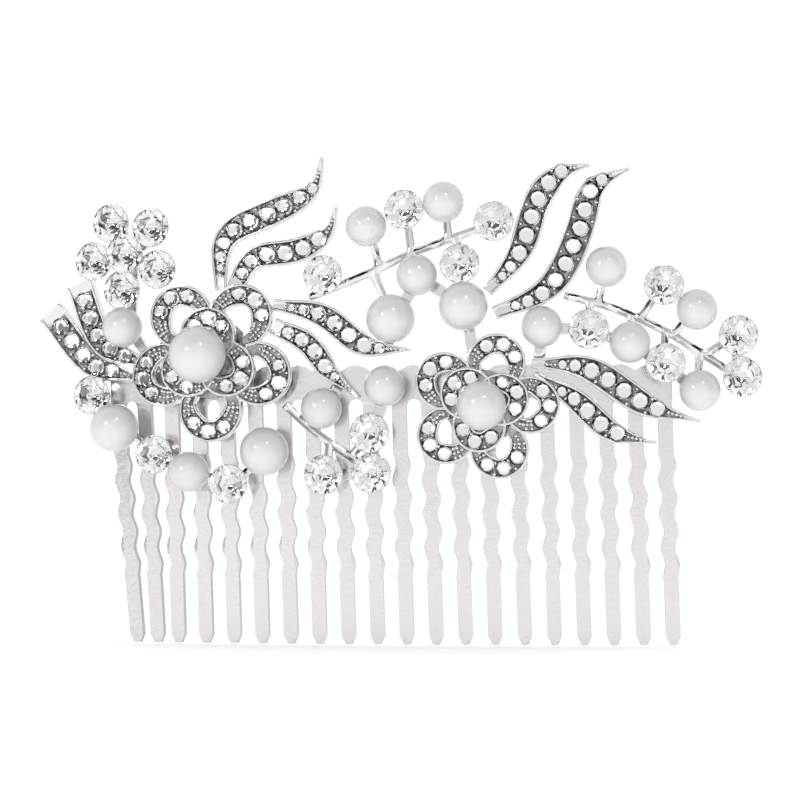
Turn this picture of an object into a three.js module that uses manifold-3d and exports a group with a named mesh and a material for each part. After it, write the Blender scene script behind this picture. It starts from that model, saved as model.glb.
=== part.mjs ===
// Floral hair comb: a twenty-tooth metal side comb with a cast spray of leaves, flowers, pearls and
// crystals soldered to the front of its spine. Millimetres, +Z up, teeth down, front towards -Y.
// The origin is the middle of the flat back face of the spine.
// Pieces are drawn on a flat plan as x across, z up and w out from the back face, then wrapped
// round the gentle arch that follows the head.
import * as THREE from "three";
import { mergeVertices } from "three/addons/utils/BufferGeometryUtils.js";
import Module from "manifold-3d";

const wasm = await Module();
wasm.setup();

// driving dimensions
const archRadius = 200;
const archFlat = 4;

const combTeeth = 20;
const toothPitch = 4.1;
const toothWidth = 2;
const combThick = 1;
const spineTop = 1.6;
const spineBottom = -2.2;
const scallopRise = 0.9;
const toothLength = 34.3;
const toothLean = 2;
const leaningTeeth = 2;
const endToothLean = 5.5;
const waveTop = -9;
const wavePeriod = 4.7;
const waveCount = 4;
const waveDepth = 0.3;
const tipLength = 1.2;
const tipShare = 0.45;

const solderGap = 0.1;
const glueGap = 0.1;
const sliverSize = 0.01;
const castBase = combThick + solderGap;

const stoneWidth = 5.4;
const stoneTable = 2.9;
const stoneCrown = 0.95;
const stoneGirdle = 0.15;
const stonePavilion = 2.1;
const cupWidth = 4.8;
const cupFoot = 3.4;
const cupFloor = 0.3;

const smallPearl = 5.7;
const largePearl = 6.8;
const heartPearl = 8;
const padWidth = 2.8;
const padHeight = 0.95;
const padDish = 0.3;

const stemWidth = 1.1;
const stemHeight = 0.9;
const stemRidge = 0.25;
const tabWidth = 1.6;
const tabHeight = 0.7;
const hangGap = 1.2;
const nestDepth = 1.6;

const leafThick = 1.5;
const leafLift = 0.7;
const leafGap = 0.1;
const leafOpening = 0.4;
const leafEnd = 0.06;
const leafPoint = 0.35;
const rimWidth = 0.32;
const channelDepth = 0.45;
const channelLeast = 0.02;
const channelFloor = 0.35;

const postWidth = 4;
const petalThick = 1.4;
const petalPlate = 0.5;
const petalSweep = 138;
const petalRoot = 0.62;
const petalOpening = 0.3;

const headroom = 1;

const roundSides = 10;
const pearlSides = 12;
const pearlRings = 6;
const heartSides = 16;
const heartRings = 8;
const waveSteps = 23;
const scallopSteps = 2;
const stemSteps = 12;
const leafSteps = 11;
const petalSteps = 11;

// finishes
const rhodium = { color: 0xc9c9cc, roughness: 0.18, metalness: 1 };
const combSteel = { color: 0xd9d5d7, roughness: 0.32, metalness: 1 };
const pearlCoat = { color: 0xe9e7ea, roughness: 0.22, metalness: 0 };
const crystal = { color: 0xf4f6f8, roughness: 0.05, metalness: 0.1 };

const hairComb = new THREE.Group();

function radians(degrees) {
  return (degrees * Math.PI) / 180;
}

// solids

function toSolid(geometry) {
  const bare = geometry.index ? geometry.clone() : geometry;
  bare.deleteAttribute("normal");
  bare.deleteAttribute("uv");
  const welded = mergeVertices(bare, 1e-5);
  const solid = new wasm.Manifold(
    new wasm.Mesh({
      numProp: 3,
      vertProperties: new Float32Array(welded.attributes.position.array),
      triVerts: new Uint32Array(welded.index.array),
    })
  );
  return solid;
}

// Turns a solid back into a geometry, with the slivers that cuts leave closed up.
function toGeometry(solid) {
  const mesh = solid.asOriginal().simplify(sliverSize).getMesh();
  const geometry = new THREE.BufferGeometry();
  geometry.setAttribute("position", new THREE.BufferAttribute(mesh.vertProperties, 3));
  geometry.setIndex(new THREE.BufferAttribute(mesh.triVerts, 1));
  return geometry;
}

function joined(geometries) {
  return geometries.map(toSolid).reduce((whole, piece) => whole.add(piece));
}

// A solid between matching rings of points. Rings are lists of [x, w, z].
function loft(rings) {
  const sides = rings[0].length;
  const positions = rings.flat().flatMap(([x, w, z]) => [x, -w, z]);
  const faces = [];
  for (let ring = 0; ring + 1 < rings.length; ring += 1) {
    for (let side = 0; side < sides; side += 1) {
      const next = (side + 1) % sides;
      const a = ring * sides + side;
      const b = ring * sides + next;
      faces.push(a, b, a + sides, b, b + sides, a + sides);
    }
  }
  const last = (rings.length - 1) * sides;
  for (const [start, flip] of [[0, true], [last, false]]) {
    const outline = rings[start / sides];
    const flat = outline.map(([x, w, z], index) => sectionPoint(outline, index));
    for (const [a, b, c] of THREE.ShapeUtils.triangulateShape(flat, [])) {
      const turned = THREE.ShapeUtils.isClockWise(flat) !== flip;
      faces.push(start + a, start + (turned ? c : b), start + (turned ? b : c));
    }
  }
  const geometry = new THREE.BufferGeometry();
  geometry.setAttribute("position", new THREE.Float32BufferAttribute(positions, 3));
  geometry.setIndex(faces);
  return facingOut(geometry);
}

// One ring point in the ring's own plane: along its first-to-last direction, and out.
function sectionPoint(outline, index) {
  const [x0, , z0] = outline[0];
  const [x1, , z1] = outline[outline.length - 1];
  const span = Math.hypot(x1 - x0, z1 - z0);
  const [x, w, z] = outline[index];
  const along = ((x - x0) * (x1 - x0) + (z - z0) * (z1 - z0)) / span;
  return new THREE.Vector2(along, w);
}

function signedVolume(geometry) {
  const at = geometry.attributes.position;
  const [a, b, c] = [new THREE.Vector3(), new THREE.Vector3(), new THREE.Vector3()];
  let volume = 0;
  for (let corner = 0; corner < geometry.index.count; corner += 3) {
    a.fromBufferAttribute(at, geometry.index.getX(corner));
    b.fromBufferAttribute(at, geometry.index.getX(corner + 1));
    c.fromBufferAttribute(at, geometry.index.getX(corner + 2));
    volume += a.dot(b.cross(c)) / 6;
  }
  return volume;
}

function facingOut(geometry) {
  if (signedVolume(geometry) < 0) {
    const index = geometry.index;
    for (let corner = 0; corner < index.count; corner += 3) {
      const swapped = index.getX(corner + 1);
      index.setX(corner + 1, index.getX(corner + 2));
      index.setX(corner + 2, swapped);
    }
  }
  return geometry;
}

// A turned piece whose axis points out of the plan. The profile is a list of [radius, w].
function turned(profile, x, z, sides = roundSides) {
  const points = profile.map(([radius, w]) => new THREE.Vector2(radius, w));
  const geometry = new THREE.LatheGeometry(points, sides);
  geometry.deleteAttribute("normal");
  geometry.deleteAttribute("uv");
  geometry.rotateX(Math.PI);
  geometry.translate(x, 0, z);
  return facingOut(mergeVertices(geometry, 1e-4));
}

function ball(radius, x, w, z, sides = pearlSides, rings = pearlRings) {
  const geometry = new THREE.SphereGeometry(radius, sides, rings);
  geometry.translate(x, -w, z);
  return geometry;
}

// the arch

function arched(geometry) {
  const at = geometry.attributes.position;
  for (let index = 0; index < at.count; index += 1) {
    const [x, y] = archPoint(at.getX(index), -at.getY(index));
    at.setXY(index, x, y);
  }
  return geometry;
}

function archAngle(x) {
  return Math.max(0, Math.abs(x) - archFlat) / archRadius;
}

function archPoint(x, w) {
  const angle = archAngle(x);
  if (angle === 0) {
    return [x, -w];
  }
  const reach = archFlat + (archRadius + w) * Math.sin(angle);
  return [Math.sign(x) * reach, archRadius - (archRadius + w) * Math.cos(angle)];
}

// Carries a small piece to its place on the arch without bending it.
function seatOnArch(geometry, x, w, z) {
  const [archX, archY] = archPoint(x, w);
  geometry.rotateZ(Math.sign(x) * archAngle(x));
  geometry.translate(archX, archY, z);
  return geometry;
}

function addPart(name, geometry, finish) {
  const bare = geometry.index ? geometry : mergeVertices(geometry, 1e-5);
  bare.computeVertexNormals();
  const mesh = new THREE.Mesh(bare, new THREE.MeshStandardMaterial(finish));
  mesh.name = name;
  hairComb.add(mesh);
}

// comb

function waveOffset(z) {
  const waveLength = waveCount * wavePeriod;
  const below = waveTop - z;
  if (below <= 0 || below >= waveLength) {
    return 0;
  }
  const ease = Math.min(1, below / (wavePeriod / 2), (waveLength - below) / (wavePeriod / 2));
  return waveDepth * ease * Math.cos((2 * Math.PI * (below - wavePeriod / 2)) / wavePeriod);
}

// One tooth with its share of the spine, two slots and two scallops, as an outline of [x, z]
// points about the tooth's own middle. The first and last points end on the slots' middles.
function toothOutline(index) {
  const half = toothPitch / 2;
  const halfTooth = toothWidth / 2;
  const slotRadius = half - halfTooth;
  const isFirst = index === 0;
  const isLast = index === combTeeth - 1;
  const extraLean = Math.max(0, 1 - index / leaningTeeth) * (endToothLean - toothLean);
  const lean = Math.tan(radians(toothLean + extraLean));
  const slotFloor = spineBottom - slotRadius;
  const tipZ = spineBottom - toothLength;
  const tipHalf = halfTooth * tipShare;
  const centre = (z) => lean * (slotFloor - z) + waveOffset(z);

  const heights = [];
  for (let step = 0; step <= waveSteps; step += 1) {
    heights.push(waveTop - (waveCount * wavePeriod * step) / waveSteps);
  }
  heights.push(tipZ + tipLength);

  const slotCorner = slotRadius * Math.SQRT1_2;
  const slotSide = (side) => [
    [side * half, spineBottom],
    [side * (half - slotCorner), slotFloor + slotCorner],
  ];
  const outline = isFirst ? [] : slotSide(-1);
  outline.push([-halfTooth, slotFloor]);
  outline.push(...heights.map((z) => [centre(z) - halfTooth, z]));
  outline.push([centre(tipZ) - tipHalf, tipZ], [centre(tipZ) + tipHalf, tipZ]);
  outline.push(...heights.reverse().map((z) => [centre(z) + halfTooth, z]));
  outline.push([halfTooth, slotFloor]);
  if (!isLast) {
    outline.push(...slotSide(1).reverse());
  }
  const leftEdge = isFirst ? halfTooth : half;
  const rightEdge = isLast ? halfTooth : half;
  for (let step = -scallopSteps; step <= scallopSteps; step += 1) {
    const share = step / scallopSteps;
    const edge = share < 0 ? rightEdge : leftEdge;
    const rise = scallopRise * Math.sin((Math.abs(share) * Math.PI) / 2);
    outline.push([-share * edge, spineTop + rise]);
  }
  return outline;
}

// The teeth share the walls between them, so the whole comb is one skin: a front and a back face
// for each tooth, and side walls wherever two teeth don't meet.
function buildComb() {
  const corners = [];
  const half = toothPitch / 2;
  for (let index = 0; index < combTeeth; index += 1) {
    const middle = (index - (combTeeth - 1) / 2) * toothPitch;
    const outline = toothOutline(index);
    const flat = outline.map(([x, z]) => new THREE.Vector2(x, z));
    const back = outline.map(([x, z]) => [middle + x, 0, z]);
    const front = outline.map(([x, z]) => [middle + x, -combThick, z]);
    for (const [a, b, c] of THREE.ShapeUtils.triangulateShape(flat, [])) {
      corners.push(front[a], front[b], front[c], back[a], back[c], back[b]);
    }
    outline.forEach(([x], at) => {
      const next = (at + 1) % outline.length;
      const onMeeting = Math.abs(x) === half && outline[next][0] === x;
      const meets = x < 0 ? index > 0 : index < combTeeth - 1;
      if (!(onMeeting && meets)) {
        corners.push(front[at], back[at], back[next], front[at], back[next], front[next]);
      }
    });
  }
  const geometry = new THREE.BufferGeometry();
  geometry.setAttribute("position", new THREE.Float32BufferAttribute(corners.flat(), 3));
  addPart("comb", arched(facingOut(mergeVertices(geometry, 1e-4))), combSteel);
}

// stones and pearls

const stoneSeat = castBase + cupFloor + glueGap;
const pearlSeat = castBase + padHeight - padDish + glueGap;

function addStone(name, [x, z], raise = 0) {
  const radius = stoneWidth / 2;
  const profile = [
    [0, 0],
    [radius, stonePavilion],
    [radius, stonePavilion + stoneGirdle],
    [stoneTable / 2, stonePavilion + stoneGirdle + stoneCrown],
    [0, stonePavilion + stoneGirdle + stoneCrown],
  ];
  const stone = toGeometry(toSolid(turned(profile, 0, 0)));
  addPart(name, seatOnArch(stone, x, stoneSeat + raise, z), crystal);
}

function cup([x, z], raise = 0) {
  const slope = stonePavilion / (stoneWidth / 2);
  const floor = castBase + cupFloor + raise;
  const rim = floor + (slope * cupWidth) / 2;
  return turned(
    [[0, castBase], [cupFoot / 2, castBase], [cupWidth / 2, rim], [0, floor]],
    x,
    z
  );
}

function addPearl(name, [x, z], width) {
  const centre = pearlSeat + width / 2;
  addPart(name, seatOnArch(ball(width / 2, 0, 0, 0), x, centre, z), pearlCoat);
}

function pad([x, z]) {
  const top = castBase + padHeight;
  const radius = padWidth / 2;
  return turned([[0, castBase], [radius, castBase], [radius, top], [0, top - padDish]], x, z);
}

// stems

function smoothPath(points) {
  return new THREE.CatmullRomCurve3(points.map(([x, z]) => new THREE.Vector3(x, 0, z)));
}

// Rings of a bar along a path. The section is a list of [across, up] for each share of the path.
function barAlong(path, steps, section, from = 0, to = 1) {
  const rings = [];
  for (let step = 0; step <= steps; step += 1) {
    const share = from + ((to - from) * step) / steps;
    const point = path.getPointAt(share);
    const tangent = path.getTangentAt(share);
    rings.push(
      section(step / steps).map(([across, up]) => [
        point.x - tangent.z * across,
        up,
        point.z + tangent.x * across,
      ])
    );
  }
  return loft(rings);
}

function ridgedBar(points, steps = 2) {
  const half = stemWidth / 2;
  const shoulder = castBase + stemHeight - stemRidge;
  const section = [
    [-half, castBase],
    [-half, shoulder],
    [0, castBase + stemHeight],
    [half, shoulder],
    [half, castBase],
  ];
  return barAlong(smoothPath(points), steps, () => section);
}

function flatTab(start, end) {
  const half = tabWidth / 2;
  const top = castBase + tabHeight;
  const section = [[-half, castBase], [-half, top], [half, top], [half, castBase]];
  return barAlong(smoothPath([start, end]), 1, () => section);
}

// Each branch: a stem, then its fruit. A fruit stands off the stem at a share of the stem's way,
// turned by its lean in degrees from the way the stem runs there (upwards is positive), with a
// stalk between the stem's middle and its edge. A twig carries it, unless it is hung from tabs,
// which run between fruit or to a foot.
const branches = {
  upper: {
    stem: [[-10.5, 12], [-4, 14.5], [4, 18], [15, 22]],
    fruit: {
      stone_1: { share: 0.1, lean: 75, stalk: -0.7 },
      stone_2: { share: 0.57, lean: 75, stalk: 3.3 },
      stone_3: { share: 1, lean: 0, stalk: -2.2 },
      stone_4: { share: 0.81, lean: -99, stalk: 1.3 },
      pearl_1: { share: 0.39, lean: 80, stalk: 2.9, width: smallPearl },
      pearl_2: { share: 0.77, lean: 75, stalk: 2.1, width: smallPearl },
      pearl_3: { share: 0.57, lean: -93, stalk: 0.6, width: smallPearl },
      pearl_4: { share: 0.35, lean: -90, stalk: smallPearl - nestDepth, width: largePearl },
      pearl_5: { share: 0.81, lean: -102, stalk: stoneWidth + hangGap, width: largePearl, hung: true },
    },
    tabs: [
      ["pearl_3", "pearl_5"],
      ["pearl_3", "pearl_4"],
      ["stone_4", "pearl_5"],
      ["pearl_4", [0.5, 5]],
      ["pearl_5", [13, 1]],
    ],
  },
  right: {
    stem: [[25, 12], [31, 10.5], [39, 7], [47, 2]],
    fruit: {
      stone_1: { share: 0.15, lean: -80, stalk: 1.3 },
      stone_2: { share: 0.45, lean: 80, stalk: 2.8 },
      stone_3: { share: 0.87, lean: 65, stalk: 2.4 },
      stone_4: { share: 1, lean: 0, stalk: -0.1 },
      stone_5: { share: 0.61, lean: -65, stalk: 1.8 },
      pearl_1: { share: 0.2, lean: 95, stalk: 2.1, width: smallPearl },
      pearl_2: { share: 0.66, lean: 80, stalk: 1.6, width: smallPearl },
      pearl_3: { share: 0.4, lean: -75, stalk: 1.1, width: smallPearl },
      pearl_4: { share: 0.84, lean: -62, stalk: 2.6, width: smallPearl },
      pearl_5: { share: 0, lean: -110, stalk: 2.6, width: smallPearl, hung: true },
    },
    tabs: [
      ["stone_1", "pearl_5"],
      ["pearl_5", [21.5, 2]],
      ["stone_1", "pearl_3"],
      ["pearl_3", "stone_5"],
      ["stone_3", "stone_4"],
      ["stone_5", "pearl_4"],
    ],
  },
  lower: {
    stem: [[-14, -3], [-9.5, -7], [-3, -11.5]],
    fruit: {
      stone_1: { share: 0.85, lean: 80, stalk: 1.8 },
      stone_2: { share: 0.6, lean: -60, stalk: 1.8 },
      stone_3: { share: 1, lean: 0, stalk: -0.7 },
      pearl_1: { share: 0.3, lean: 80, stalk: 0.6, width: smallPearl },
      pearl_2: { share: 0.85, lean: 95, stalk: 8.2, width: smallPearl, hung: true },
    },
    tabs: [
      ["pearl_1", [-6, 0.5]],
      ["stone_2", "stone_3"],
      ["stone_1", "pearl_2"],
    ],
  },
};

// The lower-left arc is a chain: each one stands beside the last, in its direction in degrees and
// with a gap between them.
const leftArc = {
  start: [-41.5, -1.5],
  chain: [
    { name: "stone_1", width: stoneWidth },
    { name: "pearl_1", width: largePearl, direction: -50, gap: 0 },
    { name: "stone_2", width: stoneWidth, direction: -35, gap: 0.5 },
    { name: "pearl_2", width: smallPearl, direction: -25, gap: 0.3 },
    { name: "stone_3", width: stoneWidth, direction: -17, gap: 0.2 },
    { name: "pearl_3", width: largePearl, direction: 40, gap: 0.9 },
  ],
};

// A ring of crystals tucked under the edge of a raised middle one. It stands over its pearl, whose
// left edge stays clear of the leaf.
const clusterTuck = 0.3;
const clusterPearlTuck = 0.25;
const clusterLeft = -39.5;
const clusterRing = stoneWidth - clusterTuck;
const cluster = {
  pearl: [clusterLeft + smallPearl / 2, 8],
  direction: 88,
  reach: clusterRing + (stoneWidth + smallPearl) / 2 - clusterPearlTuck,
  ringRadius: clusterRing,
  firstAngle: 118,
  ringStones: 5,
  middleRaise: 0.8,
  foot: [-32.5, 1.5],
};

function stepFrom([x, z], degrees, distance) {
  const angle = radians(degrees);
  return [x + distance * Math.cos(angle), z + distance * Math.sin(angle)];
}

function fruitPlace(path, { share, lean, stalk, width = stoneWidth }) {
  const root = path.getPointAt(share);
  const tangent = path.getTangentAt(share);
  const heading = THREE.MathUtils.radToDeg(Math.atan2(tangent.z, tangent.x));
  return stepFrom([root.x, root.z], heading + lean, stalk + width / 2);
}

// A cup under each stone and a pad under each pearl.
function seats(fruit) {
  return fruit.map(({ at, width, raise }) => (width === undefined ? cup(at, raise) : pad(at)));
}

function addFruit(name, fruit) {
  for (const one of fruit) {
    if (one.width === undefined) {
      addStone(`${name}_${one.name}`, one.at, one.raise);
    } else {
      addPearl(`${name}_${one.name}`, one.at, one.width);
    }
  }
}

function buildBranch(name, branch) {
  const path = smoothPath(branch.stem);
  const fruit = Object.entries(branch.fruit).map(([fruitName, settings]) => ({
    ...settings,
    name: fruitName,
    at: fruitPlace(path, settings),
  }));
  const placeOf = (end) => (Array.isArray(end) ? end : fruit.find((one) => one.name === end).at);
  const parts = [ridgedBar(branch.stem, stemSteps), ...seats(fruit)];
  for (const { at, share, hung } of fruit) {
    const root = path.getPointAt(share);
    if (!hung) {
      parts.push(ridgedBar([[root.x, root.z], at]));
    }
  }
  parts.push(...branch.tabs.map(([start, end]) => flatTab(placeOf(start), placeOf(end))));
  addPart(`${name}_branch`, arched(toGeometry(cleared(parts, fruit))), rhodium);
  addFruit(`${name}_branch`, fruit);
}

function stoneRoom({ at, raise = 0 }) {
  const radius = stoneWidth / 2 + glueGap;
  const floor = castBase + cupFloor + raise;
  const rim = floor + (stonePavilion / (stoneWidth / 2)) * radius;
  return turned([[0, floor], [radius, rim], [radius, rim + headroom], [0, rim + headroom]], ...at);
}

function pearlRoom({ at }) {
  const radius = padWidth / 2;
  const top = castBase + padHeight;
  return turned([[0, top - padDish], [radius, top], [radius, top + headroom], [0, top + headroom]], ...at);
}

// Joins a casting, and cuts the room for each stone's point, each pearl and each leaf out of it.
function cleared(parts, fruit) {
  const stones = fruit.filter((one) => one.width === undefined);
  const pearls = fruit.filter((one) => one.width !== undefined);
  const leafRooms = Object.values(sprigs).flat().map(leafRoom);
  const rooms = [...stones.map(stoneRoom), ...pearls.map(pearlRoom), ...leafRooms];
  return rooms.reduce((left, room) => left.subtract(toSolid(room)), joined(parts));
}

function buildLeftArc() {
  const fruit = [];
  const parts = [];
  for (const { name, width, direction, gap } of leftArc.chain) {
    const last = fruit[fruit.length - 1];
    const at = last
      ? stepFrom(last.at, direction, last.span / 2 + gap + width / 2)
      : leftArc.start;
    const isPearl = name.startsWith("pearl");
    fruit.push({ name, at, span: width, width: isPearl ? width : undefined });
    if (last) {
      parts.push(ridgedBar([last.at, at]));
    }
  }
  parts.push(...seats(fruit));
  addPart("left_arc", arched(toGeometry(cleared(parts, fruit))), rhodium);
  addFruit("left_arc", fruit);
}

function buildCluster() {
  const { ringRadius, firstAngle, ringStones, middleRaise } = cluster;
  const centre = stepFrom(cluster.pearl, cluster.direction, cluster.reach);
  const stones = [{ name: "stone_1", at: centre, raise: middleRaise }];
  for (let index = 0; index < ringStones; index += 1) {
    const at = stepFrom(centre, firstAngle - (index * 360) / ringStones, ringRadius);
    stones.push({ name: `stone_${index + 2}`, at });
  }
  const fruit = [...stones, { name: "pearl", at: cluster.pearl, width: smallPearl }];
  const parts = seats(fruit);
  parts.push(...fruit.slice(1).map(({ at }) => flatTab(centre, at)));
  parts.push(flatTab(cluster.pearl, cluster.foot));
  addPart("cluster_carrier", arched(toGeometry(cleared(parts, fruit))), rhodium);
  addFruit("cluster", fruit);
}

// leaves

// Each leaf: its midline from root to tip, its widths at the root, at its fullest and at the tip,
// and how far along it begins to close. The second leaf of a pair makes room for the first.
const sprigs = {
  crown: [
    { line: [[-23, 13], [-22.5, 20.5], [-15.5, 24], [-9.5, 27], [-8.5, 31.5]],
      root: 1.6, full: 3.9, close: 0.62, tip: leafPoint },
    { line: [[-21, 13], [-18.5, 17.5], [-12, 18.5], [-7.5, 21], [-6.5, 24.5]],
      root: 2.4, full: 3.5, close: 0.6, tip: leafPoint },
  ],
  heart: [
    { line: [[-15.5, 11], [-8.5, 9.5], [-2.5, 5], [4, 4.5]],
      root: 1.6, full: 3.5, close: 0.6, tip: leafPoint },
    { line: [[-15.5, 8], [-10.5, 5.5], [-7.5, 1.5], [-3.5, -2]],
      root: 2.4, full: 3.2, close: 0.5, tip: leafPoint },
  ],
  top: [
    { line: [[14.5, 12.5], [19, 18], [21.5, 25.5], [24.5, 29], [28.5, 30]],
      root: 1.6, full: 3.8, close: 0.7, tip: leafPoint },
    { line: [[15.5, 9.5], [23, 13], [27, 20.5], [29, 27], [34, 29.5]],
      root: 1.9, full: 4, close: 0.72, tip: leafPoint },
  ],
  right: [
    { line: [[20.5, 2.5], [28, 2], [36.5, -3.5], [43.5, -5.5]],
      root: 1.2, full: 3.8, close: 0.6, tip: leafPoint },
    { line: [[21, 1], [26.5, -2.5], [31.5, -7], [37.5, -8.5]],
      root: 0.9, full: 3.3, close: 0.6, tip: leafPoint },
  ],
  left: [
    { line: [[-34.5, 3], [-40.5, 6], [-44, 14.5]],
      root: 1.5, full: 3.8, close: 1, tip: 3.8 },
    { line: [[-35.5, 1], [-42, 3], [-48.5, 10.5]],
      root: 1.2, full: 3.9, close: 1, tip: 3.9 },
  ],
};

function smoothStep(share) {
  const held = Math.min(1, Math.max(0, share));
  return held * held * (3 - 2 * held);
}

function leafWidth(leaf, share) {
  const grown = leaf.root + (leaf.full - leaf.root) * smoothStep(share / leafOpening);
  if (share <= leaf.close) {
    return grown;
  }
  return leaf.tip + (grown - leaf.tip) * (1 - smoothStep((share - leaf.close) / (1 - leaf.close)));
}

// A channel with a rim along both edges, closed at the ends by lowering its depth to nothing.
function channelSection(width, base, thick, depth) {
  const half = width / 2;
  const inner = Math.max(half - rimWidth, half * channelFloor);
  const top = base + thick;
  return [
    [-half, base],
    [-half, top],
    [-inner, top],
    [-inner, top - depth],
    [inner, top - depth],
    [inner, top],
    [half, top],
    [half, base],
  ];
}

function leafSolid(leaf) {
  const path = smoothPath(leaf.line);
  const section = (share) => {
    const width = leafWidth(leaf, share);
    const open = Math.min(1, share / leafEnd, (1 - share) / leafEnd, width / (3 * rimWidth));
    const depth = Math.max(channelLeast, channelDepth * open);
    const base = castBase + leafLift * share * share;
    return channelSection(width, base, leafThick, depth);
  };
  return barAlong(path, leafSteps, section);
}

function leafRoom(leaf) {
  const section = (share) => {
    const half = leafWidth(leaf, share) / 2 + leafGap;
    const top = castBase + leafThick + leafLift + headroom;
    return [[-half, 0], [-half, top], [half, top], [half, 0]];
  };
  return barAlong(smoothPath(leaf.line), leafSteps, section);
}

function buildSprig(name, [first, second]) {
  const firstSolid = toSolid(leafSolid(first));
  const secondSolid = toSolid(leafSolid(second)).subtract(toSolid(leafRoom(first)));
  addPart(`${name}_leaf_1`, arched(toGeometry(firstSolid)), rhodium);
  addPart(`${name}_leaf_2`, arched(toGeometry(largestBody(secondSolid))), rhodium);
}

function largestBody(solid) {
  return solid.decompose().sort((one, other) => other.volume() - one.volume())[0];
}

// flowers

const flowers = {
  left: {
    centre: [-24, 3.5], outerReach: 7.3, outerRadius: 4.6, outerAngle: 54,
    innerReach: 3.2, innerRadius: 4, innerAngle: 90, petalWidth: 3.1,
    pearl: heartPearl, pearlShift: [-0.4, 0.3],
  },
  right: {
    centre: [14, -3.5], outerReach: 6.4, outerRadius: 4.1, outerAngle: 2,
    innerReach: 2.8, innerRadius: 3.7, innerAngle: 140, petalWidth: 2.9,
    pearl: largePearl, pearlShift: [0, 0],
  },
};
const outerPetals = 5;
const innerPetals = 3;

const outerBase = castBase + leafThick + solderGap;
const innerBase = outerBase + petalThick + solderGap;

// A petal is a channel bent round its own centre, open towards the flower's heart.
function petal(centre, reach, radius, width, degrees, base) {
  const outward = radians(degrees);
  const middle = [
    centre[0] + reach * Math.cos(outward),
    centre[1] + reach * Math.sin(outward),
  ];
  const midRadius = radius - width / 2;
  const rings = [];
  for (let step = 0; step <= petalSteps; step += 1) {
    const share = step / petalSteps;
    const angle = outward + radians(petalSweep) * (2 * share - 1);
    const near = Math.min(share, 1 - share);
    const here = width * (petalRoot + (1 - petalRoot) * smoothStep(near / petalOpening));
    const depth = Math.max(channelLeast, channelDepth * Math.min(1, near / leafEnd));
    const line = midRadius + (width - here) / 2;
    rings.push(
      channelSection(here, base, petalThick, depth).map(([across, up]) => [
        middle[0] + (line + across) * Math.cos(angle),
        up,
        middle[1] + (line + across) * Math.sin(angle),
      ])
    );
  }
  return loft(rings);
}

function disc(radius, bottom, top, [x, z], sides = heartSides) {
  return turned([[0, bottom], [radius, bottom], [radius, top], [0, top]], x, z, sides);
}

function ring(count, first, place) {
  const parts = [];
  for (let index = 0; index < count; index += 1) {
    parts.push(place(first + (index * 360) / count));
  }
  return parts;
}

function buildFlower(name, flower) {
  const { centre, petalWidth } = flower;
  const outer = ring(outerPetals, flower.outerAngle, (degrees) =>
    petal(centre, flower.outerReach, flower.outerRadius, petalWidth, degrees, outerBase)
  );
  const plateRadius = flower.outerReach - flower.outerRadius + petalWidth;
  outer.push(disc(plateRadius, outerBase, outerBase + petalPlate, centre));
  outer.push(disc(postWidth / 2, castBase, outerBase + petalPlate, centre, roundSides));
  const above = disc(flower.outerReach * 2, innerBase - solderGap, innerBase + petalThick, centre);
  const outerSolid = joined(outer).subtract(toSolid(above));
  addPart(`${name}_flower_outer_petals`, arched(toGeometry(outerSolid)), rhodium);

  const inner = ring(innerPetals, flower.innerAngle, (degrees) =>
    petal(centre, flower.innerReach, flower.innerRadius, petalWidth, degrees, innerBase)
  );
  inner.push(disc(flower.innerRadius, innerBase, innerBase + petalPlate, centre));
  inner.push(disc(postWidth / 2, outerBase + petalPlate + solderGap, innerBase + petalPlate, centre));
  const heart = [centre[0] + flower.pearlShift[0], centre[1] + flower.pearlShift[1]];
  const pearlCentre = innerBase + petalPlate + glueGap + flower.pearl / 2;
  const roomRadius = flower.pearl / 2 + glueGap;
  const room = ball(roomRadius, heart[0], pearlCentre, heart[1], heartSides, heartRings);
  const innerSolid = joined(inner).subtract(toSolid(room));
  addPart(`${name}_flower_inner_petals`, arched(toGeometry(innerSolid)), rhodium);
  const bead = ball(flower.pearl / 2, 0, 0, 0, heartSides, heartRings);
  addPart(`${name}_flower_pearl`, seatOnArch(bead, heart[0], pearlCentre, heart[1]), pearlCoat);
}

buildComb();
buildCluster();
buildLeftArc();
for (const [name, branch] of Object.entries(branches)) {
  buildBranch(name, branch);
}
for (const [name, leaves] of Object.entries(sprigs)) {
  buildSprig(name, leaves);
}
for (const [name, flower] of Object.entries(flowers)) {
  buildFlower(name, flower);
}

export default hairComb;
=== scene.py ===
import math
import random

import bmesh
import bpy
from mathutils import Matrix, Vector


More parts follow.
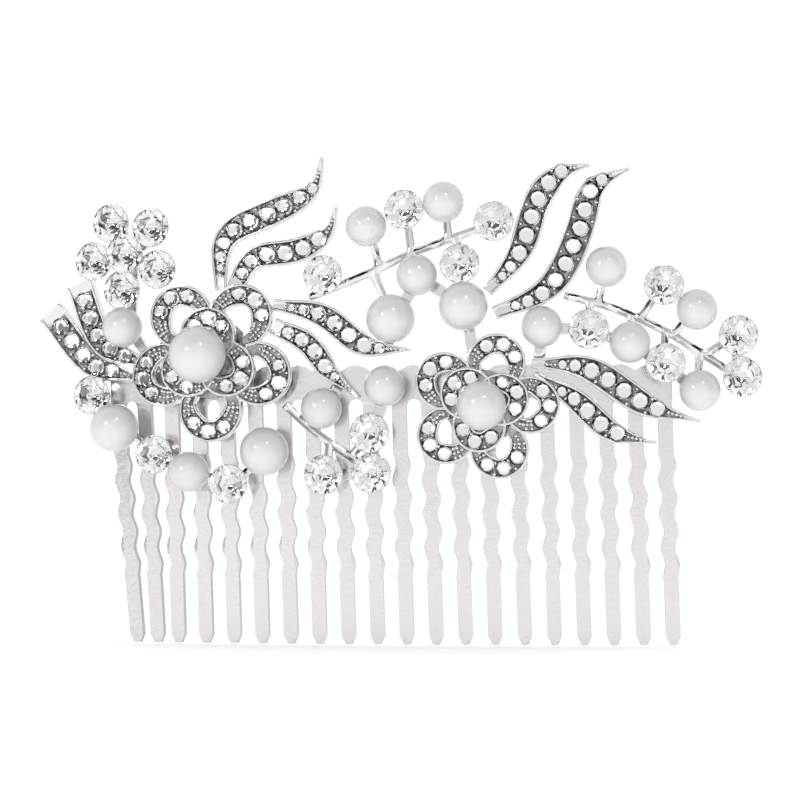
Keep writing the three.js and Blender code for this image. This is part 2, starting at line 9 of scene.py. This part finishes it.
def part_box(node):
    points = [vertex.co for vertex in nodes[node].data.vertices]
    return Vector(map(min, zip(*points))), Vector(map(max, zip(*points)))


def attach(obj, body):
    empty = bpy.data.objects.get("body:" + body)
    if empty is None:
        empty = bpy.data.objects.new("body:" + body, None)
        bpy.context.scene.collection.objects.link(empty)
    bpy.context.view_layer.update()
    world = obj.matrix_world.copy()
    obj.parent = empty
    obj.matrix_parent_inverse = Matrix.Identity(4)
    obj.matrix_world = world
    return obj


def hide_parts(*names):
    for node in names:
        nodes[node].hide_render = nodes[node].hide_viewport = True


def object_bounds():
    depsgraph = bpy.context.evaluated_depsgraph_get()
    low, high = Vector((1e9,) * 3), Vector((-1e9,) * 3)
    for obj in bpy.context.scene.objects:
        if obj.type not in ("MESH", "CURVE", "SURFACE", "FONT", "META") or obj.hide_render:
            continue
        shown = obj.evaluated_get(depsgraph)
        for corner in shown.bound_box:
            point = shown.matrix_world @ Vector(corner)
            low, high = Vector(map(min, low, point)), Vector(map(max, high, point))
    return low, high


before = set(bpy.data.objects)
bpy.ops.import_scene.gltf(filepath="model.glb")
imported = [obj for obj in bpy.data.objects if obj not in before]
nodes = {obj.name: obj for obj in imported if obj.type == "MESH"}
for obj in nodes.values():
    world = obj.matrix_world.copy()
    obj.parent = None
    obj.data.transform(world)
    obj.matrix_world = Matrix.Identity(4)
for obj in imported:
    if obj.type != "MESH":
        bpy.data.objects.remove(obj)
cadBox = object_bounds()
mm = 0.001
print("frame loaded:", len(nodes), "nodes")


# camera and light

cameraValues = {
    "target": (2.5 * mm, -3 * mm, -2.5 * mm),
    "distance": 400 * mm,
    "turn": 8,
    "rise": -2,
    "lens": 129.6,
    "clip": (0.01, 20),
}


def aimAt(thing, target):
    direction = Vector(target) - thing.location
    thing.rotation_euler = direction.to_track_quat("-Z", "Y").to_euler()


def addCamera(values):
    turn = math.radians(values["turn"])
    rise = math.radians(values["rise"])
    away = Vector((
        math.sin(turn) * math.cos(rise),
        -math.cos(turn) * math.cos(rise),
        math.sin(rise),
    ))
    bpy.ops.object.camera_add(location=Vector(values["target"]) + away * values["distance"])
    camera = bpy.context.object
    aimAt(camera, values["target"])
    camera.data.lens = values["lens"]
    camera.data.clip_start, camera.data.clip_end = values["clip"]
    bpy.context.scene.camera = camera


addCamera(cameraValues)
print("camera placed")


# shader maths

class Socket:
    # wraps an output so that shader maths reads as arithmetic

    def __init__(self, make, out):
        self.make = make
        self.out = out

    def blend(self, operation, other):
        return self.make.node("ShaderNodeMath", {"operation": operation}, {0: self, 1: other})

    def __add__(self, other):
        return self.blend("ADD", other)

    def __mul__(self, other):
        return self.blend("MULTIPLY", other)

    __radd__ = __add__
    __rmul__ = __mul__


class Maker:
    # builds one material's nodes

    def __init__(self, tree):
        self.tree = tree

    def node(self, kind, settings=None, inputs=None, output=0):
        made = self.tree.nodes.new(kind)
        for name, value in (settings or {}).items():
            setattr(made, name, value)
        for name, value in (inputs or {}).items():
            if isinstance(value, Socket):
                self.tree.links.new(value.out, made.inputs[name])
            else:
                made.inputs[name].default_value = value
        return Socket(self, made.outputs[output])

    def noise(self, scale, detail=3):
        place = self.node("ShaderNodeTexCoord", output="Object")
        return self.node("ShaderNodeTexNoise", None, {"Vector": place, "Scale": scale, "Detail": detail})

    def bump(self, height, strength, depth):
        return self.node("ShaderNodeBump", None, {"Strength": strength, "Distance": depth, "Height": height})

    def mix(self, factor, first, second):
        return self.node(
            "ShaderNodeMix", {"data_type": "RGBA"}, {0: factor, 6: first, 7: second}, output=2
        )


def newMaterial(name, build):
    material = bpy.data.materials.new(name)
    material.use_nodes = True
    tree = material.node_tree
    tree.nodes.clear()
    maker = Maker(tree)
    surface = build(maker)
    output = tree.nodes.new("ShaderNodeOutputMaterial")
    tree.links.new(surface.out, output.inputs["Surface"])
    return material


# studio

lightValues = {
    "key": {"place": (-0.34, -0.52, 0.2), "size": 0.12, "watts": 0.5, "tint": (1, 0.99, 0.98)},
    "high": {"place": (0.22, -0.46, 0.44), "size": 0.12, "watts": 0.36, "tint": (0.98, 0.99, 1)},
}


def addLights(values):
    for name, light in values.items():
        bpy.ops.object.light_add(type="AREA", location=light["place"])
        lamp = bpy.context.object
        lamp.name = name + "_light"
        lamp.data.size = light["size"]
        lamp.data.energy = light["watts"]
        lamp.data.color = light["tint"]
        aimAt(lamp, (0, 0, 0))


studioValues = {
    "backdrop": 1.05,
    "front": 0.84,
    "flag": 0.02,
    "lowFlag": 0.24,
    "lowRange": (-0.25, 0.15),
    "lowTurn": 0.4,
    "discEdge": 0.76,
    "flagEdge": 0.2,
    "soften": 0.05,
}
floorValues = {
    "size": 6,
    "gap": 0.2 * mm,
    "tone": 0.9,
    "roughness": 0.9,
    "shine": 0.05,
    "glow": 0.38,
}


def grey(level):
    return (level, level, level, 1)


def buildStudio(values):
    # a bright disc in front, a dark ring of flags round it and a white tent behind: the ring draws
    # the dark lines on polished metal and cut stones
    world = bpy.data.worlds.new("studio")
    bpy.context.scene.world = world
    world.use_nodes = True
    tree = world.node_tree
    tree.nodes.clear()
    maker = Maker(tree)
    way = maker.node("ShaderNodeTexCoord", output="Generated")
    turn = math.radians(cameraValues["turn"])
    front = maker.node("ShaderNodeVectorMath", {"operation": "DOT_PRODUCT"},
                       {0: way, 1: (math.sin(turn), -math.cos(turn), 0)}, output="Value")
    across = maker.node("ShaderNodeSeparateXYZ", None, {0: way}, output="X")
    height = maker.node("ShaderNodeSeparateXYZ", None, {0: way}, output="Z")

    def fade(source, start, end):
        return maker.node("ShaderNodeMapRange", {"interpolation_type": "SMOOTHSTEP"},
                          {0: source, 1: start, 2: end, 3: 0, 4: 1})

    soft = values["soften"]
    high = fade(height + across * values["lowTurn"], *values["lowRange"])
    onDisc = fade(front, values["discEdge"] - soft, values["discEdge"] + soft)
    onFlag = fade(front, values["flagEdge"] - soft, values["flagEdge"] + soft)
    flag = maker.mix(high, grey(values["lowFlag"]), grey(values["flag"]))
    inFront = maker.mix(onDisc, flag, grey(values["front"]))
    colour = maker.mix(onFlag, grey(values["backdrop"]), inFront)
    background = maker.node("ShaderNodeBackground", None, {"Color": colour, "Strength": 1.0})
    output = tree.nodes.new("ShaderNodeOutputWorld")
    tree.links.new(background.out, output.inputs["Surface"])


def floorSurface(maker):
    return maker.node("ShaderNodeBsdfPrincipled", None, {
        "Base Color": grey(floorValues["tone"]), "Roughness": floorValues["roughness"],
        "Specular IOR Level": floorValues["shine"],
        "Emission Color": grey(1), "Emission Strength": floorValues["glow"],
    })


def addFloor(values):
    low = cadBox[0]
    bpy.ops.mesh.primitive_plane_add(size=values["size"], location=(0, 0, low[2] - values["gap"]))
    floor = bpy.context.object
    floor.name = "pale_floor"
    floor.data.materials.append(newMaterial("pale floor", floorSurface))


addLights(lightValues)
buildStudio(studioValues)
addFloor(floorValues)
print("studio ready")


# finishes

metalValues = {
    "cast_metal": {
        "name": "rhodium casting", "tone": (0.79, 0.78, 0.79, 1), "broad": 260, "fine": 1900, "detail": 3,
        "bump": 0.1, "depth": 0.05 * mm, "rough": 0.05, "spread": 0.1,
    },
    # the channel floors: darker metal with dark pits, partly the casting's oxide and partly painted shade in
    # the recesses
    "recess": {
        "name": "blackened recess", "tone": (0.72, 0.71, 0.71, 1), "pitted": (0.16, 0.15, 0.15, 1),
        "broad": 1500, "fine": 1500, "detail": 4,
        "bump": 0.6, "depth": 0.2 * mm, "rough": 0.25, "spread": 0.3,
    },
    "comb_metal": {
        "name": "satin comb metal", "tone": (0.8, 0.77, 0.78, 1), "broad": 120, "fine": 1400, "detail": 3,
        "bump": 0.15, "depth": 0.1 * mm, "rough": 0.16, "spread": 0.12,
    },
    # the comb's side walls: darker metal as painted shade on the teeth's sides
    "comb_edge": {
        "name": "punched comb edge", "tone": (0.42, 0.4, 0.41, 1), "broad": 120, "fine": 1400, "detail": 3,
        "bump": 0.15, "depth": 0.1 * mm, "rough": 0.16, "spread": 0.12,
    },
}
pearlFinish = {
    "cloud": 170,
    "shade": (0.86, 0.84, 0.83, 1),
    "light": (0.95, 0.94, 0.97, 1),
    # edge: the darker colour laid toward the pearl's rim by facing, painted shade
    "edge": (0.6, 0.57, 0.54, 1),
    "edgeBlend": 0.35,
    "rough": 0.3,
    "spread": 0.1,
    "fine": 2400,
    "bump": 0.05,
    "depth": 0.05 * mm,
    "under": 0.2,
    "underRadius": (1.2 * mm, 1 * mm, 0.9 * mm),
    "coat": 1.0,
    "coatRough": 0.1,
}
stoneFinish = {
    "index": 1.56,
    "foil": (0.93, 0.93, 0.95, 1),
    "foilCloud": 900,
    "foilRough": 0.01,
    "foilSpread": 0.03,
}


def metalSurface(values):
    def build(maker):
        broad = maker.noise(values["broad"], values["detail"])
        fine = maker.noise(values["fine"], values["detail"])
        # the dark colour laid over the tone by the noise is, on the recess metal, partly oxide and partly
        # painted shade
        colour = maker.mix(broad, values["pitted"], values["tone"]) if "pitted" in values else values["tone"]
        return maker.node("ShaderNodeBsdfPrincipled", None, {
            "Base Color": colour, "Metallic": 1.0,
            "Roughness": broad * values["spread"] + values["rough"],
            "Normal": maker.bump(fine, values["bump"], values["depth"]),
        })

    return build


def pearlSurface(maker):
    values = pearlFinish
    cloud = maker.noise(values["cloud"])
    # the base colour darkens toward the rim by facing: painted shade
    facing = maker.node("ShaderNodeLayerWeight", None, {"Blend": values["edgeBlend"]}, output="Facing")
    middle = maker.mix(cloud, values["shade"], values["light"])
    return maker.node("ShaderNodeBsdfPrincipled", None, {
        "Base Color": maker.mix(facing, middle, values["edge"]),
        "Roughness": cloud * values["spread"] + values["rough"],
        "Normal": maker.bump(maker.noise(values["fine"]), values["bump"], values["depth"]),
        "Subsurface Weight": values["under"], "Subsurface Radius": values["underRadius"],
        "Coat Weight": values["coat"], "Coat Roughness": values["coatRough"],
    })


def stoneSurface(maker):
    return maker.node("ShaderNodeBsdfPrincipled", None, {
        "Base Color": grey(1), "Roughness": 0.0, "IOR": stoneFinish["index"], "Transmission Weight": 1.0,
    })


def foilSurface(maker):
    cloud = maker.noise(stoneFinish["foilCloud"])
    return maker.node("ShaderNodeBsdfPrincipled", None, {
        "Base Color": stoneFinish["foil"], "Metallic": 1.0,
        "Roughness": cloud * stoneFinish["foilSpread"] + stoneFinish["foilRough"],
    })


finishes = {slot: newMaterial(values["name"], metalSurface(values)) for slot, values in metalValues.items()}
finishes["pearl"] = newMaterial("pearl coating", pearlSurface)
finishes["crystal"] = newMaterial("cut crystal", stoneSurface)
finishes["foil"] = newMaterial("stone foil", foilSurface)
print("finishes mixed")


# tools for the pieces

weldReach = 0.002 * mm


def deselectAll():
    if bpy.context.object and bpy.context.object.mode != "OBJECT":
        bpy.ops.object.mode_set(mode="OBJECT")
    bpy.ops.object.select_all(action="DESELECT")


def pickOnly(piece):
    deselectAll()
    piece.select_set(True)
    bpy.context.view_layer.objects.active = piece


def applyModifier(piece, kind, settings):
    pickOnly(piece)
    modifier = piece.modifiers.new(kind.lower(), kind)
    for name, value in settings.items():
        setattr(modifier, name, value)
    bpy.ops.object.modifier_apply(modifier=modifier.name)


def copyOfNode(name, pieceName):
    # the CAD node's own mesh, welded, as a new piece to be finished
    piece = bpy.data.objects.new(pieceName, nodes[name].data.copy())
    bpy.context.scene.collection.objects.link(piece)
    pickOnly(piece)
    bpy.ops.object.mode_set(mode="EDIT")
    bpy.ops.mesh.select_all(action="SELECT")
    bpy.ops.mesh.remove_doubles(threshold=weldReach)
    bpy.ops.object.mode_set(mode="OBJECT")
    return piece


def settle(piece, slot, *replaced):
    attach(piece, "root")
    if replaced:
        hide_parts(*replaced)


def nodesNamed(*words):
    return [name for name in sorted(nodes) if any(word in name for word in words)]


# stone channels: the sunk strips in the leaves and petals, found on the castings themselves

channelValues = {
    "facing": 0.8,
    "wallAngle": -0.6,
    "level": 0.35,
    "widest": 3.2 * mm,
    "fewest": 4,
    "tiny": 1e-9,
}


def sunkFaces(mesh, values):
    floor = set()
    for face in mesh.faces:
        if -face.normal.y > values["facing"]:
            for edge in face.edges:
                if len(edge.link_faces) == 2 and edge.calc_face_angle_signed(0) < values["wallAngle"]:
                    floor.add(face)
    return grown(floor, values)


def grown(floor, values):
    # the faces between those at the walls belong to the floor too
    waiting = list(floor)
    while waiting:
        for edge in waiting.pop().edges:
            if len(edge.link_faces) == 2 and edge.calc_face_angle(0) < values["level"]:
                for face in edge.link_faces:
                    if face not in floor:
                        floor.add(face)
                        waiting.append(face)
    return floor


def neighbours(face, among):
    return [other for edge in face.edges for other in edge.link_faces if other is not face and other in among]


def placeOf(face):
    return tuple(face.calc_center_median())


def strips(faces):
    # the longest first, and equal ones in order of their place, so that each run finds the same order
    left = set(faces)
    found = []
    while left:
        start = left.pop()
        strip = {start}
        waiting = [start]
        while waiting:
            for other in neighbours(waiting.pop(), left):
                left.discard(other)
                strip.add(other)
                waiting.append(other)
        found.append(strip)
    return sorted(found, key=lambda strip: (-len(strip), min(placeOf(face) for face in strip)))


def farthest(start, strip):
    # the face most steps away, and the face each one was reached from
    reached = {start: None}
    waiting = [start]
    for face in waiting:
        for other in neighbours(face, strip):
            if other not in reached:
                reached[other] = face
                waiting.append(other)
    return waiting[-1], reached


def stripPath(strip):
    # the longest walk along the strip; odd corners left by a cut are passed by
    first = min(strip, key=placeOf)
    start = farthest(first, strip)[0]
    face, reached = farthest(start, strip)
    path = []
    while face:
        path.append(face)
        face = reached[face]
    return min(path, path[::-1], key=lambda faces: placeOf(faces[0]))


def walkStrip(strip):
    # the middle, the two sides and the way out of the strip at each edge across it
    path = stripPath(strip)
    stations = []
    for face, onward in zip(path, path[1:]):
        edge = next(edge for edge in face.edges if onward in edge.link_faces)
        one, other = (vertex.co.copy() for vertex in edge.verts)
        stations.append(((one + other) / 2, one, other, face.normal.copy()))
    return stations


def isChannel(strip, stations):
    # the plate between the petals is sunk too, but it is far wider for its length
    length = sum((b[0] - a[0]).length for a, b in zip(stations, stations[1:]))
    return sum(face.calc_area() for face in strip) < channelValues["widest"] * length


def channelsOf(name, count):
    mesh = bmesh.new()
    mesh.from_mesh(nodes[name].data)
    bmesh.ops.remove_doubles(mesh, verts=mesh.verts, dist=weldReach)
    mesh.normal_update()
    walked = [(strip, walkStrip(strip)) for strip in strips(sunkFaces(mesh, channelValues))]
    found = [stations for strip, stations in walked if isChannel(strip, stations)]
    mesh.free()
    return found[:count]


def channelLine(stations):
    # crossings lean along the strip, so each middle is taken between two crossings
    middles = [(a[0] + b[0]) / 2 for a, b in zip(stations, stations[1:])]
    out = [a[3] for a in stations[1:]]
    lengths = [0]
    for a, b in zip(middles, middles[1:]):
        lengths.append(lengths[-1] + (b - a).length)
    halves = []
    for index in range(len(middles)):
        after = middles[min(index + 1, len(middles) - 1)]
        before = middles[max(index - 1, 0)]
        way = (after - before).normalized()
        across = way.cross(out[index]).normalized()
        one = stations[index]
        halves.append(abs((one[1] - one[2]).dot(across)) / 2)
    return middles, out, lengths, halves


def onLine(line, distance):
    # the place, the way out, the way along and the half width at a distance along the channel
    middles, out, lengths, halves = line
    tiny = channelValues["tiny"]
    held = min(max(distance, 0), lengths[-1])
    index = max(at for at in range(len(lengths)) if lengths[at] <= held + tiny)
    index = min(index, len(lengths) - 2)
    share = (held - lengths[index]) / max(lengths[index + 1] - lengths[index], tiny)
    place = middles[index].lerp(middles[index + 1], share)
    normal = out[index].lerp(out[index + 1], share).normalized()
    way = (middles[index + 1] - middles[index]).normalized()
    half = halves[index] + (halves[index + 1] - halves[index]) * share
    return place, normal, way, half


# cut stones

setStoneValues = {
    "sides": 8,
    "tableShare": 0.52,
    "crownShare": 0.34,
    "girdleShare": 0.08,
    "depthShare": 0.68,
    "flatShare": 0.28,
    "starLean": 0.45,
    "starReach": 0.97,
    "foilBelow": -0.2,
}
chatonValues = {
    "sides": 8,
    "tableShare": 0.54,
    "crownShare": 0.34,
    "girdleShare": 0.05,
    "depthShare": 0.9,
    "starLean": 0.5,
    "starReach": 0.97,
    "foilBelow": -0.2,
    "fine": True,
    "upperLean": 1.25,
    "lowerLean": 1.08,
    "lip": 0.012,
    "lipSegments": 40,
    "lipSides": 6,
}


def cutPlane(angle, radius, height, lean, upward):
    # one flat ground on the stone: it meets the girdle at that radius and height
    sign = 1 if upward else -1
    normal = Vector((
        math.cos(angle) * math.sin(lean),
        math.sin(angle) * math.sin(lean),
        sign * math.cos(lean),
    ))
    place = Vector((math.cos(angle) * radius, math.sin(angle) * radius, height))
    bpy.ops.mesh.select_all(action="SELECT")
    bpy.ops.mesh.bisect(plane_co=place, plane_no=normal, use_fill=True, clear_outer=True)


def cutStone(name, values):
    # a stone one metre across, its girdle at height 0, table up; it is shrunk as it is set
    sides = values["sides"]
    table = values["tableShare"] / 2
    crown = values["crownShare"] / 2
    girdle = values["girdleShare"] / 2
    depth = values["depthShare"] / 2
    fine = values.get("fine", False)
    corners = sides * (4 if fine else 2)
    deselectAll()
    bpy.ops.mesh.primitive_cylinder_add(
        vertices=corners, radius=0.5, depth=crown + girdle + depth,
        location=(0, 0, (crown - girdle - depth) / 2), rotation=(0, 0, math.pi / corners),
    )
    stone = bpy.context.object
    stone.name = name
    bpy.ops.object.transform_apply(location=True, rotation=True, scale=True)
    bpy.ops.object.mode_set(mode="EDIT")
    bezel = math.atan2(crown, 0.5 - table)
    pavilion = math.atan2(depth, 0.5)
    step = 2 * math.pi / sides
    for index in range(sides):
        cutPlane(index * step, 0.5, 0, bezel, True)
        cutPlane(index * step, 0.5, -girdle, pavilion, False)
    for index in range(sides):
        turned = (index + 0.5) * step
        cutPlane(turned, table * values["starReach"], crown, bezel * values["starLean"], True)
    if fine:
        for index in range(2 * sides):
            turned = (index + 0.5) * step / 2
            reach = 0.5 * math.cos(step / 8)
            cutPlane(turned, reach, 0, bezel * values["upperLean"], True)
            cutPlane(turned, reach, -girdle, pavilion * values["lowerLean"], False)
    if "flatShare" in values:
        cutPlane(0, 0, -girdle - values["flatShare"] / 2, 0, False)
    bpy.ops.object.mode_set(mode="OBJECT")
    stone.data.materials.append(finishes["crystal"])
    stone.data.materials.append(finishes["foil"])
    for face in stone.data.polygons:
        face.material_index = 1 if face.normal.z < values["foilBelow"] else 0
        face.use_smooth = False
    return stone


def addLip(stone, values):
    # the thin rim of the cup, closed over the middle of the stone's girdle
    deselectAll()
    bpy.ops.mesh.primitive_torus_add(
        major_radius=0.5, minor_radius=values["lip"], major_segments=values["lipSegments"],
        minor_segments=values["lipSides"], location=(0, 0, -values["girdleShare"] / 4),
    )
    lip = bpy.context.object
    bpy.ops.object.shade_smooth()
    lip.data.materials.append(finishes["cast_metal"])
    stone.select_set(True)
    bpy.context.view_layer.objects.active = stone
    bpy.ops.object.join()


setStone = cutStone("set_stone_pattern", setStoneValues)
chaton = cutStone("chaton_pattern", chatonValues)
addLip(chaton, chatonValues)
print("stones cut:", len(setStone.data.polygons), "and", len(chaton.data.polygons), "facets")


def seated(pattern, place, normal, width, turn=0.0):
    # a copy of the pattern in its seat, facing out along the normal
    piece = bpy.data.objects.new(pattern.name + "_copy", pattern.data.copy())
    bpy.context.scene.collection.objects.link(piece)
    facing = normal.to_track_quat("Z", "Y").to_matrix().to_4x4()
    spin = Matrix.Rotation(turn, 4, "Z")
    piece.data.transform(Matrix.Translation(place) @ facing @ spin @ Matrix.Scale(width, 4))
    return piece


def joinAs(pieces, name):
    deselectAll()
    for piece in pieces:
        piece.select_set(True)
    bpy.context.view_layer.objects.active = pieces[0]
    bpy.ops.object.join()
    joined = bpy.context.object
    joined.name = name
    return joined


# stones and grains set along the channels

settingValues = {
    "largest": 2.6 * mm,
    "petalLargest": 2.6 * mm,
    "petalSide": 0.84,
    "smallest": 1.35 * mm,
    "fillShare": 1.02,
    "gap": 0.06 * mm,
    "start": 0.3 * mm,
    "lookAhead": 0.8 * mm,
    "step": 0.4 * mm,
    "raise": 0.56 * mm,
    "turn": 0.7,
    "tilt": 0.09,
}
grainValues = {
    "segments": 8,
    "rings": 5,
    "size": 0.6 * mm,
    "spread": (0.9, 1.2),
    "side": 0.95,
    "step": 0.6 * mm,
    "threeAcross": 1.4,
}
grainDraw = random.Random(5)


def beadPattern(name, values):
    deselectAll()
    bpy.ops.mesh.primitive_uv_sphere_add(segments=values["segments"], ring_count=values["rings"], radius=0.5)
    bead = bpy.context.object
    bead.name = name
    bpy.ops.object.shade_smooth()
    bead.data.materials.append(finishes["cast_metal"])
    return bead


grainBead = beadPattern("grain_bead_pattern", grainValues)


def petalStations(line, largest, values):
    # three stones, the middle one the largest
    middle = line[2][-1] / 2
    side = largest * values["petalSide"]
    reach = (side + largest) / 2 + values["gap"]
    stations = []
    for distance, size in ((middle - reach, side), (middle, largest), (middle + reach, side)):
        half = onLine(line, distance)[3]
        stations.append((distance, min(size, 2 * half * values["fillShare"])))
    return stations


def leafStations(line, largest, values):
    # a full row, each stone as wide as the channel is there
    total = line[2][-1]
    stations = []
    distance = values["start"]
    while distance < total:
        half = onLine(line, distance + values["lookAhead"])[3]
        size = min(largest, 2 * half * values["fillShare"])
        if size < values["smallest"]:
            distance += values["step"]
            continue
        if distance + size > total:
            break
        stations.append((distance + size / 2, size))
        distance += size + values["gap"]
    return stations


def grainPlaces(line, stones):
    # a pair of grains between each two stones, and single ones on to the ends
    total = line[2][-1]
    places = []
    for (first, size), (second, other) in zip(stones, stones[1:]):
        places.append(((first + size / 2 + second - other / 2) / 2, True))
    if stones:
        lowEnd = stones[0][0] - stones[0][1] / 2
        highEnd = stones[-1][0] + stones[-1][1] / 2
        step = grainValues["step"]
        count = int(lowEnd / step)
        places += [(lowEnd - (index + 0.5) * step, False) for index in range(count)]
        count = int((total - highEnd) / step)
        places += [(highEnd + (index + 0.5) * step, False) for index in range(count)]
    return places


def setChannel(line, stations):
    stones = []
    grains = []
    tilt = settingValues["tilt"]
    for distance, size in stations:
        place, normal = onLine(line, distance)[:2]
        turn = grainDraw.uniform(0, settingValues["turn"])
        lean = Vector([grainDraw.uniform(-tilt, tilt) for _ in range(3)])
        seat = place + normal * settingValues["raise"]
        stones.append(seated(setStone, seat, (normal + lean).normalized(), size, turn))
    size = grainValues["size"]
    for distance, paired in grainPlaces(line, stations):
        place, normal, way, half = onLine(line, distance)
        across = way.cross(normal).normalized()
        wide = half > grainValues["threeAcross"] * size
        for side in ((-1, 1) if paired else (-1, 0, 1) if wide else (0,)):
            offset = across * side * max(half * grainValues["side"] - size / 2, 0)
            seat = place + offset + normal * size / 2
            grains.append(seated(grainBead, seat, normal, size * grainDraw.uniform(*grainValues["spread"])))
    return stones, grains


def setNode(name, count, largest, stationsOf):
    stones = []
    grains = []
    for crossings in channelsOf(name, count):
        if len(crossings) >= channelValues["fewest"]:
            line = channelLine(crossings)
            newStones, newGrains = setChannel(line, stationsOf(line, largest, settingValues))
            stones += newStones
            grains += newGrains
    for pieces, suffix, slot in ((stones, "_set_stones", "crystal"), (grains, "_grains", "cast_metal")):
        if pieces:
            settle(joinAs(pieces, name + suffix), slot)
    return len(stones), len(grains)


channelled = (
    ("_leaf_", 1, "largest", leafStations),
    ("outer_petals", 5, "petalLargest", petalStations),
    ("inner_petals", 3, "petalLargest", petalStations),
)
totals = [0, 0]
for word, count, largest, stationsOf in channelled:
    for name in nodesNamed(word):
        made = setNode(name, count, settingValues[largest], stationsOf)
        totals = [a + b for a, b in zip(totals, made)]
print("channels set:", totals[0], "stones and", totals[1], "grains")


# castings: leaves, petals and branches with softened edges, and channels darkened partly by oxide and partly
# by painted shade

castingValues = {
    "sharp": 38,
    "levels": 2,
    "crease": 0.86,
    "smooth": 42,
    "brightEnds": 2,
}


def finishCasting(name, values):
    piece = copyOfNode(name, name + "_cast")
    piece.data.materials.clear()
    piece.data.materials.append(finishes["cast_metal"])
    piece.data.materials.append(finishes["recess"])
    mesh = bmesh.new()
    mesh.from_mesh(piece.data)
    mesh.normal_update()
    sunk = sunkFaces(mesh, channelValues) if "leaf" in name or "petals" in name else set()
    if "leaf" in name:
        # the floor rises to the rim at both ends, and the painted shade is left off there so they stay bright
        path = stripPath(strips(sunk)[0])
        ends = values["brightEnds"]
        sunk -= set(path[:ends] + path[-ends:])
    # the sunk channel floors take the darker recess metal: partly oxide, partly painted shade
    for face in mesh.faces:
        face.material_index = 1 if face in sunk else 0
    creases = mesh.edges.layers.float.get("crease_edge") or mesh.edges.layers.float.new("crease_edge")
    for edge in mesh.edges:
        if len(edge.link_faces) == 2 and edge.calc_face_angle(0) > math.radians(values["sharp"]):
            edge[creases] = values["crease"]
    mesh.to_mesh(piece.data)
    mesh.free()
    applyModifier(piece, "SUBSURF", {"levels": values["levels"], "render_levels": values["levels"]})
    bpy.ops.object.shade_smooth_by_angle(angle=math.radians(values["smooth"]))
    settle(piece, "cast_metal", name)


stems = ["upper_branch", "right_branch", "lower_branch", "left_arc", "cluster_carrier"]
castings = nodesNamed("_leaf_", "petals") + stems
for name in castings:
    finishCasting(name, castingValues)
print("castings finished:", len(castings))


# crystals in their cups

crystalValues = {
    "turn": 22.5,
}


def facingOf(name):
    # the pavilion's point is the vertex furthest behind, and the axis runs from it to the middle
    corners = [vertex.co for vertex in nodes[name].data.vertices]
    middle = sum(corners, Vector()) / len(corners)
    point = max(corners, key=lambda corner: corner.y)
    return point, (middle - point).normalized()


def setCrystal(name, values):
    low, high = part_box(name)
    point, normal = facingOf(name)
    width = high.z - low.z
    girdle = (chatonValues["depthShare"] + chatonValues["girdleShare"]) / 2
    place = point + normal * girdle * width
    stone = seated(chaton, place, normal, width, math.radians(values["turn"]))
    stone.name = name + "_cut"
    settle(stone, "crystal", name)


crystals = nodesNamed("_stone_")
for name in crystals:
    setCrystal(name, crystalValues)
print("crystals set:", len(crystals))


# pearls

pearlValues = {
    "segments": 48,
    "rings": 32,
    "holeFrom": 0.965,
    "holeRim": 0.03,
    "holeDepth": 0.25,
    "smooth": 35,
}


def drillPearl(name, values):
    low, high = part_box(name)
    middle = (low + high) / 2
    radius = (high.z - low.z) / 2
    deselectAll()
    bpy.ops.mesh.primitive_uv_sphere_add(
        segments=values["segments"], ring_count=values["rings"], radius=radius,
        location=middle, rotation=(math.pi / 2, 0, 0),
    )
    pearl = bpy.context.object
    pearl.name = name + "_bead"
    bpy.ops.object.transform_apply(location=True, rotation=True, scale=True)
    back = middle.y + radius * values["holeFrom"]
    bpy.ops.object.mode_set(mode="EDIT")
    bpy.ops.mesh.select_mode(type="FACE")
    bpy.ops.mesh.select_all(action="DESELECT")
    bpy.ops.object.mode_set(mode="OBJECT")
    for face in pearl.data.polygons:
        face.select = face.center.y > back
    bpy.ops.object.mode_set(mode="EDIT")
    bpy.ops.mesh.inset(thickness=radius * values["holeRim"])
    bpy.ops.mesh.extrude_region_move(
        TRANSFORM_OT_translate={"value": (0, -radius * values["holeDepth"], 0)}
    )
    bpy.ops.object.mode_set(mode="OBJECT")
    bpy.ops.object.shade_smooth_by_angle(angle=math.radians(values["smooth"]))
    pearl.data.materials.append(finishes["pearl"])
    settle(pearl, "pearl", name)


pearls = nodesNamed("pearl")
for name in pearls:
    drillPearl(name, pearlValues)
print("pearls drilled:", len(pearls))


# comb

combValues = {
    "bevel": 0.12 * mm,
    "segments": 2,
    "sharp": 60,
    "smooth": 40,
    "faceWeight": 60,
    "wall": 0.35,
}


def roundComb(values):
    piece = copyOfNode("comb", "comb_plated")
    applyModifier(piece, "BEVEL", {
        "width": values["bevel"], "segments": values["segments"], "limit_method": "ANGLE",
        "angle_limit": math.radians(values["sharp"]), "use_clamp_overlap": True,
    })
    bpy.ops.object.shade_smooth_by_angle(angle=math.radians(values["smooth"]))
    applyModifier(piece, "WEIGHTED_NORMAL", {"keep_sharp": True, "weight": values["faceWeight"]})
    piece.data.materials.clear()
    piece.data.materials.append(finishes["comb_metal"])
    piece.data.materials.append(finishes["comb_edge"])
    # faces turned sideways take the darker metal: painted shade on the tooth walls
    for face in piece.data.polygons:
        face.material_index = 1 if abs(face.normal.y) < values["wall"] else 0
    settle(piece, "comb_metal", "comb")


roundComb(combValues)
print("comb rounded")

for pattern in (setStone, chaton, grainBead):
    bpy.data.objects.remove(pattern)

bpy.context.scene.view_settings.view_transform = "Standard"
